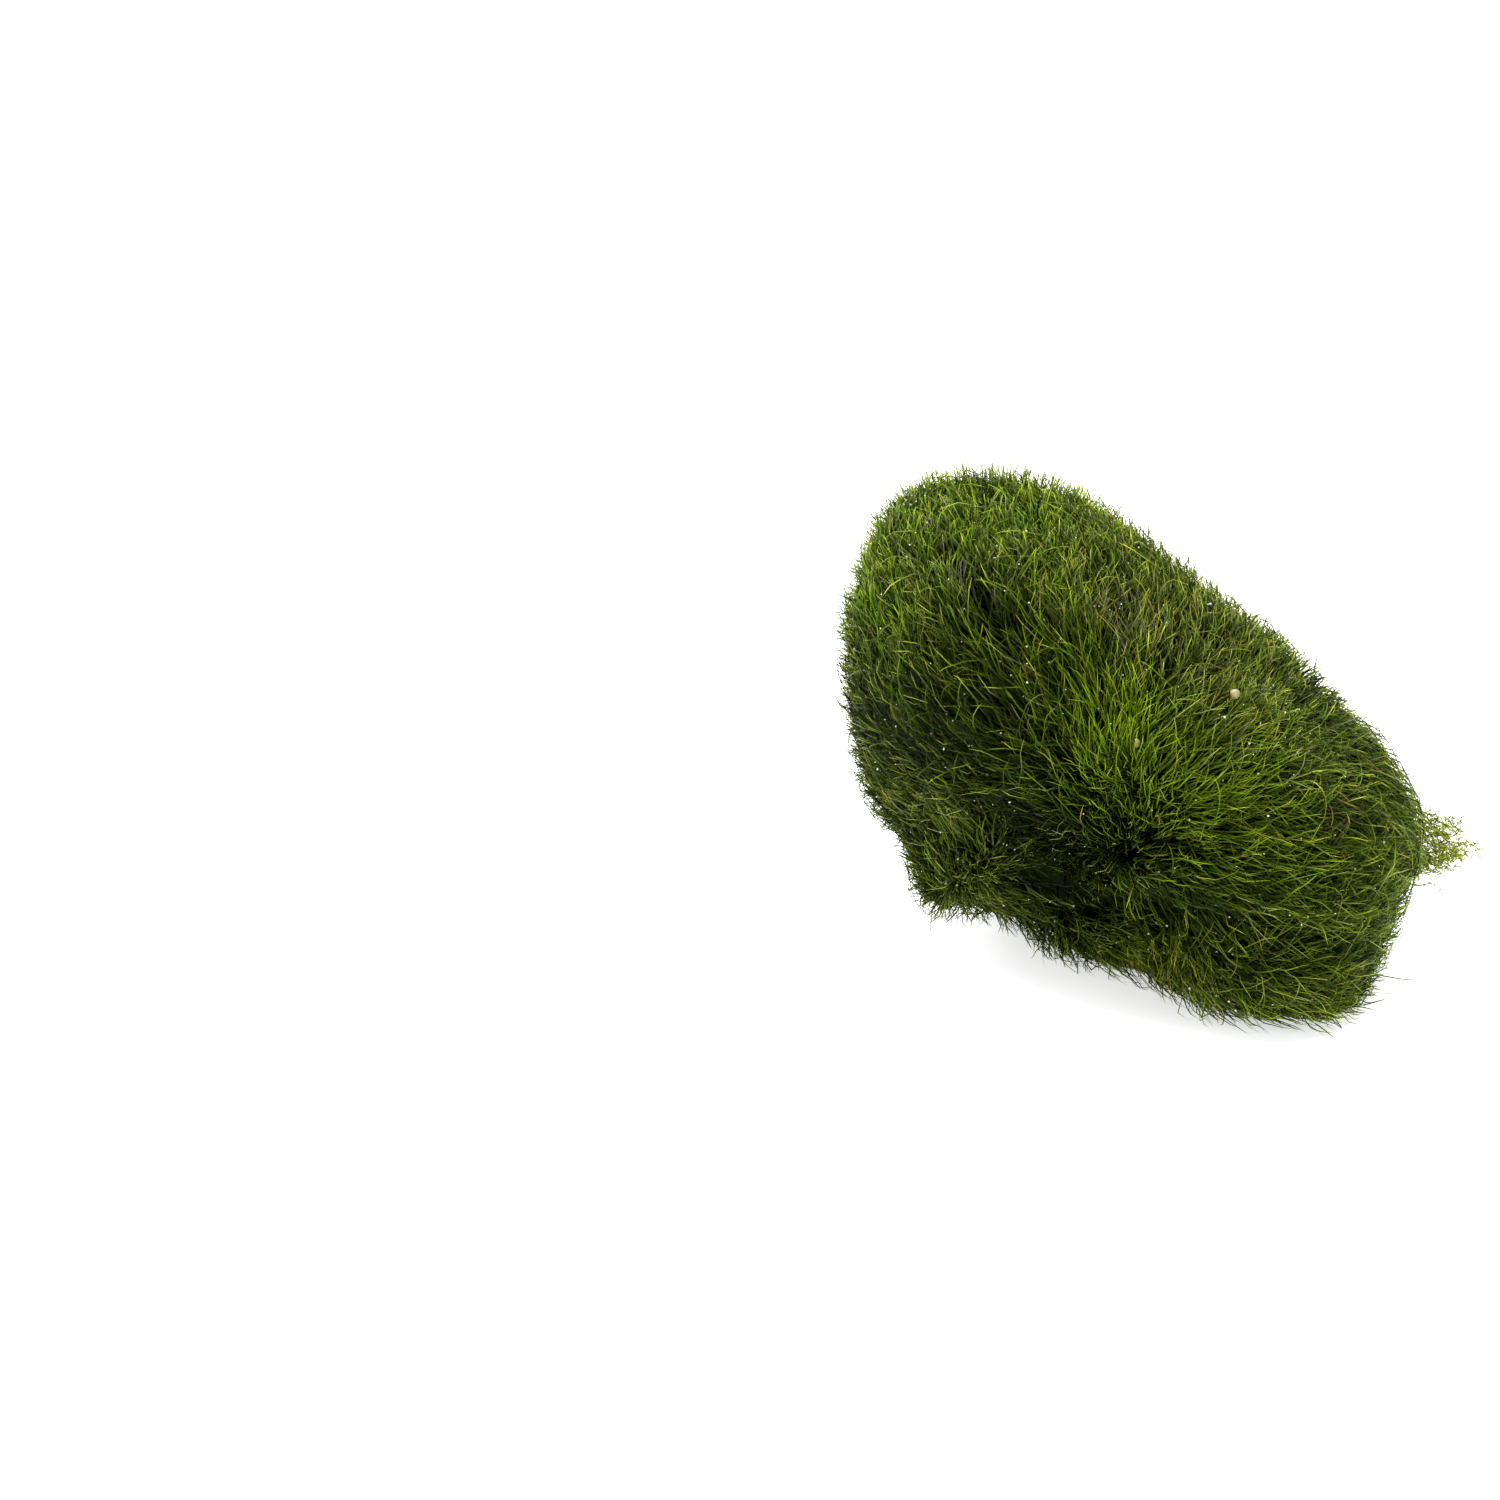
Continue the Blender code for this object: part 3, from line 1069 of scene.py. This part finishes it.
@dataclass
class Branches:
    """The side branches that fork from the upper halves of the threads."""

    name: str
    count: int
    seed: int
    heights: Rings = (0.0, 0.40, 0.75, 1.0)
    radius: float = 0.058 * MM
    length: Pair = (1.1 * MM, 2.7 * MM)
    fork: Pair = (18.0, 42.0)
    start: Pair = (0.40, 0.82)
    curl: float = 0.10 * MM
    side_spread: float = 0.35
    rise: float = 0.10
    thickness_spread: float = 0.18
    thickness_range: Pair = (0.6, 1.4)

    def build(self, growths: list[Growth], material: bpy.types.Material, rings: Rings) -> None:
        """Grow the branches.

        Args:
            growths: The threads that they fork from.
            material: Their finish.
            rings: Where the rings of those threads lie, from 0 to 1.
        """
        rng = np.random.default_rng(self.seed)
        spines = np.concatenate([growth.spines for growth in growths])
        outward = np.concatenate([growth.outward for growth in growths])
        tones = np.concatenate([growth.tones for growth in growths])
        parents = rng.integers(0, len(spines), self.count)
        share = rng.uniform(*self.start, self.count)
        after = np.clip(np.searchsorted(rings, share), 1, len(rings) - 1)
        low, high = np.array(rings)[after - 1], np.array(rings)[after]
        part = ((share - low) / (high - low))[:, None]
        first, second = spines[parents, after - 1], spines[parents, after]
        roots = first + (second - first) * part
        ahead = unit(second - first)
        stray = self.side_spread * rng.normal(size=(self.count, 3))
        side = unit(np.cross(ahead, outward[parents]) + stray)
        fork = rng.uniform(*self.fork, self.count) * rng.choice((-1.0, 1.0), self.count)
        angle = np.radians(fork)[:, None]
        way = unit(ahead * np.cos(angle) + side * np.sin(angle) + self.rise * outward[parents])
        length = rng.uniform(*self.length, self.count)[:, None]
        tips = roots + unit(way + 0.5 * ahead) * length
        lines = bent_lines(roots, roots + way * length * 0.5, tips, self.heights)
        lines = lines + rng.normal(0.0, self.curl, lines.shape) * np.array(self.heights)[None, :, None]
        thickness = rng.normal(1.0, self.thickness_spread, self.count)
        radii = self.radius * np.clip(thickness, *self.thickness_range)
        piece = ThreadMesh(self.heights).build(self.name, lines, radii, tones[parents])
        place_piece(piece, material)


def rings_of(count: int) -> Rings:
    """Return evenly spaced ring places from 0 to 1."""
    return tuple(float(place) for place in np.linspace(0.0, 1.0, count))


@dataclass
class EndTuft:
    """The airy tuft of curly branching threads at the right-hand end."""

    upper_root: Triple = (25.6, -5.0, -3.4)
    lower_root: Triple = (24.2, -12.6, -3.4)
    apex: Triple = (32.3, -8.8, -3.6)
    root_spread: Triple = (0.5, 0.3, 1.3)
    aim_spread: Triple = (0.5, 1.1, 0.8)
    bend_spread: Triple = (0.3, 0.9, 0.7)
    reach: Pair = (0.45, 1.0)
    reach_power: float = 0.8
    light: Pair = (0.3, 1.0)
    stems: int = 48
    twigs: int = 12
    stem_rings: int = 19
    twig_rings: int = 8
    radius: float = 0.066
    curl: float = 0.46
    turns: Pair = (1.8, 4.6)
    first_twig_ring: int = 3
    twig_length: Pair = (0.6, 2.0)
    twig_stray: float = 1.1
    twig_kink: float = 0.15
    seed: int = 51

    def build(self, material: bpy.types.Material) -> None:
        """Grow the stems, and the twigs along them."""
        rng = np.random.default_rng(self.seed)
        rings = rings_of(self.stem_rings)
        stems = self._stems(rng, rings)
        light = rng.uniform(*self.light, self.stems)
        tones = tone_place(np.full(self.stems, Tone.GOLD.value), light)
        radii = np.full(self.stems, self.radius * MM)
        place_piece(ThreadMesh(rings).build("tuft_stems", stems, radii, tones), material)
        rings = rings_of(self.twig_rings)
        twigs = self._twigs(rng, stems, rings)
        radii = np.full(len(twigs), 0.75 * self.radius * MM)
        tones = np.repeat(tones, self.twigs)
        place_piece(ThreadMesh(rings).build("tuft_twigs", twigs, radii, tones), material)

    def _stems(self, rng: Random, rings: Rings) -> Array:
        """Return the stems' middle lines, which run out to the tuft's point and curl on the way."""
        mix = rng.random(self.stems)[:, None]
        roots = np.array(self.upper_root) * mix + np.array(self.lower_root) * (1.0 - mix)
        roots = roots + rng.normal(0.0, self.root_spread, (self.stems, 3))
        reach = rng.uniform(*self.reach, self.stems)[:, None] ** self.reach_power
        aims = np.array(self.apex) + rng.normal(0.0, self.aim_spread, (self.stems, 3))
        ends = roots + (aims - roots) * reach
        bend = (roots + ends) / 2.0 + rng.normal(0.0, self.bend_spread, (self.stems, 3))
        lines = bent_lines(roots, bend, ends, rings)
        share = np.array(rings)[None, :, None]
        phase = rng.uniform(0.0, 2.0 * math.pi, (self.stems, 1, 3))
        turns = rng.uniform(*self.turns, (self.stems, 1, 3))
        lines = lines + self.curl * share * np.sin(2.0 * math.pi * turns * share + phase)
        return FACE.to_part(lines * MM)

    def _twigs(self, rng: Random, stems: Array, rings: Rings) -> Array:
        """Return the twigs' middle lines, which leave the stems at their rings."""
        count = self.stems * self.twigs
        parent = np.repeat(np.arange(self.stems), self.twigs)
        ring = rng.integers(self.first_twig_ring, self.stem_rings - 1, count)
        roots = stems[parent, ring]
        ahead = unit(stems[parent, ring + 1] - roots)
        way = unit(0.5 * ahead + self.twig_stray * rng.normal(size=(count, 3)))
        length = rng.uniform(*self.twig_length, count)[:, None] * MM
        ends = roots + unit(way + 0.4 * ahead) * length
        lines = bent_lines(roots, roots + way * length * 0.6, ends, rings)
        share = np.array(rings)[None, :, None]
        return lines + rng.normal(0.0, self.twig_kink * MM, lines.shape) * share


@dataclass
class StrayThreads:
    """Long single threads that wander over the pile in arcs and loops."""

    surface: GrowthSurface
    comb: Comb
    count: int = 1700
    rings: int = 9
    step: Pair = (0.50 * MM, 0.95 * MM)
    height: Pair = (-1.05 * MM, 0.0)
    radius: float = 0.062 * MM
    bend: float = 7.0
    turn: float = 26.0
    root_depth: float = 1.2 * MM
    root_share: float = 0.25
    arc_share: float = 1.4
    lowest_normal: float = -0.7
    most_standing: float = 0.30
    most_gap: float = 0.3
    light: Pair = (0.35, 1.1)
    thickness: Pair = (0.7, 1.3)
    seed: int = 61

    def build(self, material: bpy.types.Material) -> None:
        """Lay the threads."""
        rng = np.random.default_rng(self.seed)
        points, normals = self.surface.scatter(self.count, rng)
        kept = (normals[:, 2] > self.lowest_normal) & (rim_standing(normals) < self.most_standing)
        kept &= gap_nearness(points) < self.most_gap
        points, normals = points[kept], normals[kept]
        count = len(points)
        step = rng.uniform(*self.step, count)[:, None]
        height = rng.uniform(*self.height, count)[:, None]
        bend = rng.normal(0.0, self.bend, count)
        turn = rng.normal(0.0, self.turn, count)
        lean = unit(turned(self.comb.lie(points, normals), normals, turn))
        track = []
        for ring in range(self.rings):
            share = ring / (self.rings - 1)
            arc = math.sin(math.pi * min(share * self.arc_share, 1.0))
            rise = height * arc - self.radius * 2.0
            rise = rise - self.root_depth * max(0.0, self.root_share - share) / self.root_share
            track.append(points + normals * rise)
            lean = turned(lean, normals, bend + rng.normal(0.0, self.bend, count))
            points, normals = self.surface.settle(points + lean * step)
            lean = unit(lean - normals * (lean * normals).sum(axis=1, keepdims=True))
        lines = np.stack(track, axis=1)
        light = rng.uniform(*self.light, count)
        tones = WISP_PALETTE.pick(lines[:, self.rings // 2], light, rng)
        radii = self.radius * rng.uniform(*self.thickness, count)
        piece = ThreadMesh(rings_of(self.rings)).build("stray_threads", lines, radii, tones)
        place_piece(piece, material)


@dataclass
class LoneHairs:
    """The few single hairs that stand clear of the ball's outline: root, bend and tip of each."""

    lines: tuple = (
        ((1.9, 17.6, -6.6), (2.6, 20.6, -6.4), (2.2, 22.4, -6.2)),
        ((-5.2, 22.2, -6.0), (-4.0, 25.6, -5.8), (-3.2, 22.6, -5.6)),
        ((20.5, -19.6, 1.0), (23.6, -20.8, 1.2), (25.9, -20.6, 1.4)),
        ((19.0, -21.8, 1.6), (22.0, -22.8, 1.8), (23.8, -23.4, 1.8)),
        ((25.0, -9.5, -3.0), (28.5, -11.4, -3.0), (30.4, -11.9, -3.2)),
        ((24.0, -14.0, -2.6), (26.4, -13.6, -2.6), (27.4, -14.6, -2.6)),
        ((13.8, 6.6, -6.4), (15.6, 8.2, -6.2), (17.4, 8.0, -6.0)),
        ((-21.6, 19.4, -5.2), (-23.6, 21.6, -5.0), (-23.4, 23.2, -5.0)),
    )
    rings: int = 9
    radius: float = 0.060 * MM
    wave: float = 0.12
    light: Pair = (0.3, 0.9)
    seed: int = 81

    def build(self, material: bpy.types.Material) -> None:
        """Grow the hairs."""
        rng = np.random.default_rng(self.seed)
        root, bend, tip = (np.array([line[k] for line in self.lines]) for k in range(3))
        rings = rings_of(self.rings)
        spines = bent_lines(root, bend, tip, rings)
        spines = spines + rng.normal(0.0, self.wave, spines.shape) * np.array(rings)[None, :, None]
        count = len(self.lines)
        tones = tone_place(np.full(count, Tone.OLIVE.value), rng.uniform(*self.light, count))
        radii = np.full(count, self.radius)
        piece = ThreadMesh(rings).build("lone_hairs", FACE.to_part(spines * MM), radii, tones)
        place_piece(piece, material)


@dataclass
class PaintedGlintSpecks:
    """Pale specks on the ends of the threads: painted glints of wet thread tips."""

    count: int = 1150
    sizes: Pair = (0.050 * MM, 0.110 * MM)
    stretch: Pair = (0.7, 1.3)
    unevenness: float = 0.12
    seed: int = 71

    def build(self, growths: list[Growth]) -> None:
        """Set the specks on the ends of threads, as one joined mesh."""
        rng = np.random.default_rng(self.seed)
        tips = np.concatenate([growth.spines[:, -1] for growth in growths])
        places = tips[rng.choice(len(tips), self.count, replace=False)]
        mesh = bmesh.new()
        bmesh.ops.create_icosphere(mesh, subdivisions=1, radius=1.0)
        shape, corners = points_and_corners(mesh)
        low, high = self.sizes
        sizes = low + (high - low) * rng.random((self.count, 1, 1)) ** 3
        sizes = sizes * rng.uniform(*self.stretch, (self.count, 1, 3))
        uneven = 1.0 + rng.normal(0.0, self.unevenness, (self.count, len(shape), 1))
        points = places[:, None] + shape[None] * sizes * uneven
        data, _ = joined("painted_glint_specks", points, corners)
        place_piece(linked(data.name, data), PAINTED_GLINT_FINISH.material())


@dataclass(frozen=True)
class GrainPlace:
    """Where a grain lies on the broad face, in mm, its half sizes, and how deep it is sunk."""

    across: float
    up: float
    sizes: Triple
    turn: float
    sunk: float


GRAINS = (
    GrainPlace(9.6, 5.5, (0.50, 0.45, 0.34), 20.0, 0.60),
    GrainPlace(0.3, 1.5, (0.46, 0.42, 0.30), -30.0, 1.80),
)


@dataclass
class Grains:
    """The pale tan grains that lie caught on the broad face."""

    surface: GrowthSurface
    roughen: float = 0.10

    def build(self) -> None:
        """Model every grain as a slightly flattened, uneven pebble."""
        material = TAN_GRAIN.material()
        for number, grain in enumerate(GRAINS, start=1):
            place, normal = self._seat(grain)
            mesh = bmesh.new()
            bmesh.ops.create_icosphere(mesh, subdivisions=3, radius=1.0)
            for vert in mesh.verts:
                swell = 1.0 + self.roughen * noise.noise(vert.co * 1.3 + Vector((number, 0.0, 0.0)))
                vert.co = Vector(size * axis * swell * MM for size, axis in zip(grain.sizes, vert.co))
            facing = Vector(normal).to_track_quat("Z", "Y").to_matrix().to_4x4()
            turn = Matrix.Rotation(math.radians(grain.turn), 4, "Z")
            facing = Matrix.Translation(place) @ facing @ turn
            bmesh.ops.transform(mesh, matrix=facing, verts=mesh.verts)
            data = mesh_data(f"tan_grain_{number}", mesh)
            data.shade_smooth()
            place_piece(linked(data.name, data), material)

    def _seat(self, grain: GrainPlace) -> tuple[Array, Array]:
        """Return where a grain lies: the front of the skin behind its place, and the way it faces."""
        start = FACE.camera()
        line = Vector(unit(FACE.to_part(np.array([grain.across, grain.up, 0.0]) * MM) - start))
        hit, normal, _, _ = self.surface.tree.ray_cast(Vector(start), line)
        facing = (normal - line).normalized()
        return np.array(hit - normal * grain.sunk * MM), np.array(facing)


@dataclass
class Studio:
    """The floor, the light and the camera of the photograph's view."""

    sensor: float = 36.0
    photo_width: float = 135.0 * MM
    floor_side: float = 6.0
    surround: float = 0.55
    lit_place: Triple = (0.0, 0.0, 0.02)

    def build(self) -> None:
        """Lay the floor, hang the lights and set the camera."""
        self._floor()
        self._world()
        self._light("top_softbox", (0.00, 0.14, 0.50), 0.50, 4.8)
        self._light("front_fill", (0.45, -0.50, 0.35), 0.40, 1.4)
        self._light("left_rim_light", (-0.42, 0.34, 0.16), 0.30, 3.0)
        self._light("right_rim_light", (0.46, 0.34, 0.12), 0.30, 1.6)
        self._camera()

    def _floor(self) -> None:
        """Lay a plain pale floor."""
        mesh = bmesh.new()
        bmesh.ops.create_grid(mesh, x_segments=1, y_segments=1, size=self.floor_side / 2.0)
        data = mesh_data("floor", mesh)
        data.materials.append(FloorFinish().material())
        linked("floor", data)

    def _world(self) -> None:
        """Give an even white surround, seen whiter than it shines."""
        world = bpy.data.worlds.new("white_tent")
        world.use_nodes = True
        tree = world.node_tree
        background = tree.nodes["Background"]
        background.inputs["Color"].default_value = (1.0, 1.0, 1.0, 1.0)
        rays = tree.nodes.new("ShaderNodeLightPath")
        strength = tree.nodes.new("ShaderNodeMapRange")
        strength.inputs["To Min"].default_value = self.surround
        strength.inputs["To Max"].default_value = 1.0
        tree.links.new(rays.outputs["Is Camera Ray"], strength.inputs["Value"])
        tree.links.new(strength.outputs["Result"], background.inputs["Strength"])
        bpy.context.scene.world = world
        bpy.context.scene.view_settings.view_transform = "Standard"

    def _light(self, name: str, place: Triple, side: float, power: float) -> None:
        """Hang one square soft light that faces the ball."""
        light = bpy.data.lights.new(name, "AREA")
        light.size = side
        light.energy = power
        lamp = bpy.data.objects.new(name, light)
        lamp.location = place
        aim = Vector(self.lit_place) - Vector(place)
        lamp.rotation_euler = aim.to_track_quat("-Z", "Y").to_euler()
        bpy.context.scene.collection.objects.link(lamp)

    def _camera(self) -> None:
        """Set the camera square on to the broad face, framed as the photograph is."""
        data = bpy.data.cameras.new("photo_camera")
        data.sensor_width = self.sensor
        data.lens = self.sensor * FACE.camera_away / self.photo_width
        data.clip_start = 0.01
        camera = bpy.data.objects.new("photo_camera", data)
        camera.location = FACE.camera()
        camera.rotation_euler = Matrix(FACE.axes()).transposed().to_euler()
        bpy.context.scene.collection.objects.link(camera)
        bpy.context.scene.camera = camera


def main() -> None:
    """Build the ball and its setting in order."""
    logging.basicConfig(level=logging.INFO, format="%(message)s")
    surface = GrowthSurface()
    comb = Comb()
    clumps = Clumps(surface, comb)
    thread = ThreadFinish().material()
    # A lighter copy of the thread finish: painted light for the fringe and the end tuft.
    painted_lighter_thread = ThreadFinish("algae_thread_painted_lighter", painted_light_gain=1.2).material()
    FeltBody(surface).build()
    Pile(
        surface, comb, clumps, "undergrowth", 17500, 31, heights=(0.0, 0.55, 1.0), depth=4.2 * MM,
        reach=3.8 * MM, radius=0.105 * MM, sink=2.20 * MM, spread=0.40 * MM, tail=0.10 * MM, stray=20.0,
        gathering=0.5, thinning=0.6, flyaways=0.0, palette=GROUND_PALETTE,
    ).build(thread)
    growths = []
    for number, seed in enumerate((21, 22), start=1):
        growths.append(Pile(surface, comb, clumps, f"threads_{number}", 9600, seed).build(thread))
    wisps = Pile(
        surface, comb, clumps, "wisps", 9200, 25, heights=(0.0, 0.45, 0.78, 1.0), depth=3.8 * MM,
        reach=4.6 * MM, radius=0.062 * MM, sink=1.20 * MM, spread=0.35 * MM, tail=0.55 * MM,
        stray=30.0, tip_turn=38.0, curl=0.14 * MM, light=0.12, gathering=0.25, highest=0.35 * MM,
        palette=WISP_PALETTE,
    )
    growths.append(wisps.build(thread))
    # The fringe is lifted lighter, with a strong painted rim glow and the lighter thread copy: painted
    # backlight on the standing rim threads.
    Pile(
        surface, comb, clumps, "fringe", 15000, 26, heights=(0.0, 0.55, 1.0), depth=3.4 * MM,
        reach=2.4 * MM, radius=0.052 * MM, sink=1.00 * MM, spread=0.50 * MM, tail=0.80 * MM,
        stray=35.0, tip_turn=25.0, curl=0.10 * MM, light=0.45, painted_rim_glow=0.60, gathering=0.40,
        flyaways=0.0, highest=1.20 * MM, loosened=-1.10 * MM, upright=0.72,
        elsewhere=0.24, palette=FRINGE_PALETTE,
    ).build(painted_lighter_thread)
    Branches("branches", 8800, 41).build(growths[:2], thread, Pile.heights)
    # The end tuft takes the lighter copy: painted light.
    EndTuft().build(painted_lighter_thread)
    StrayThreads(surface, comb).build(thread)
    LoneHairs().build(thread)
    PaintedGlintSpecks().build(growths[1:])
    Grains(surface).build()
    Studio().build()


if __name__ == "__main__":
    main()
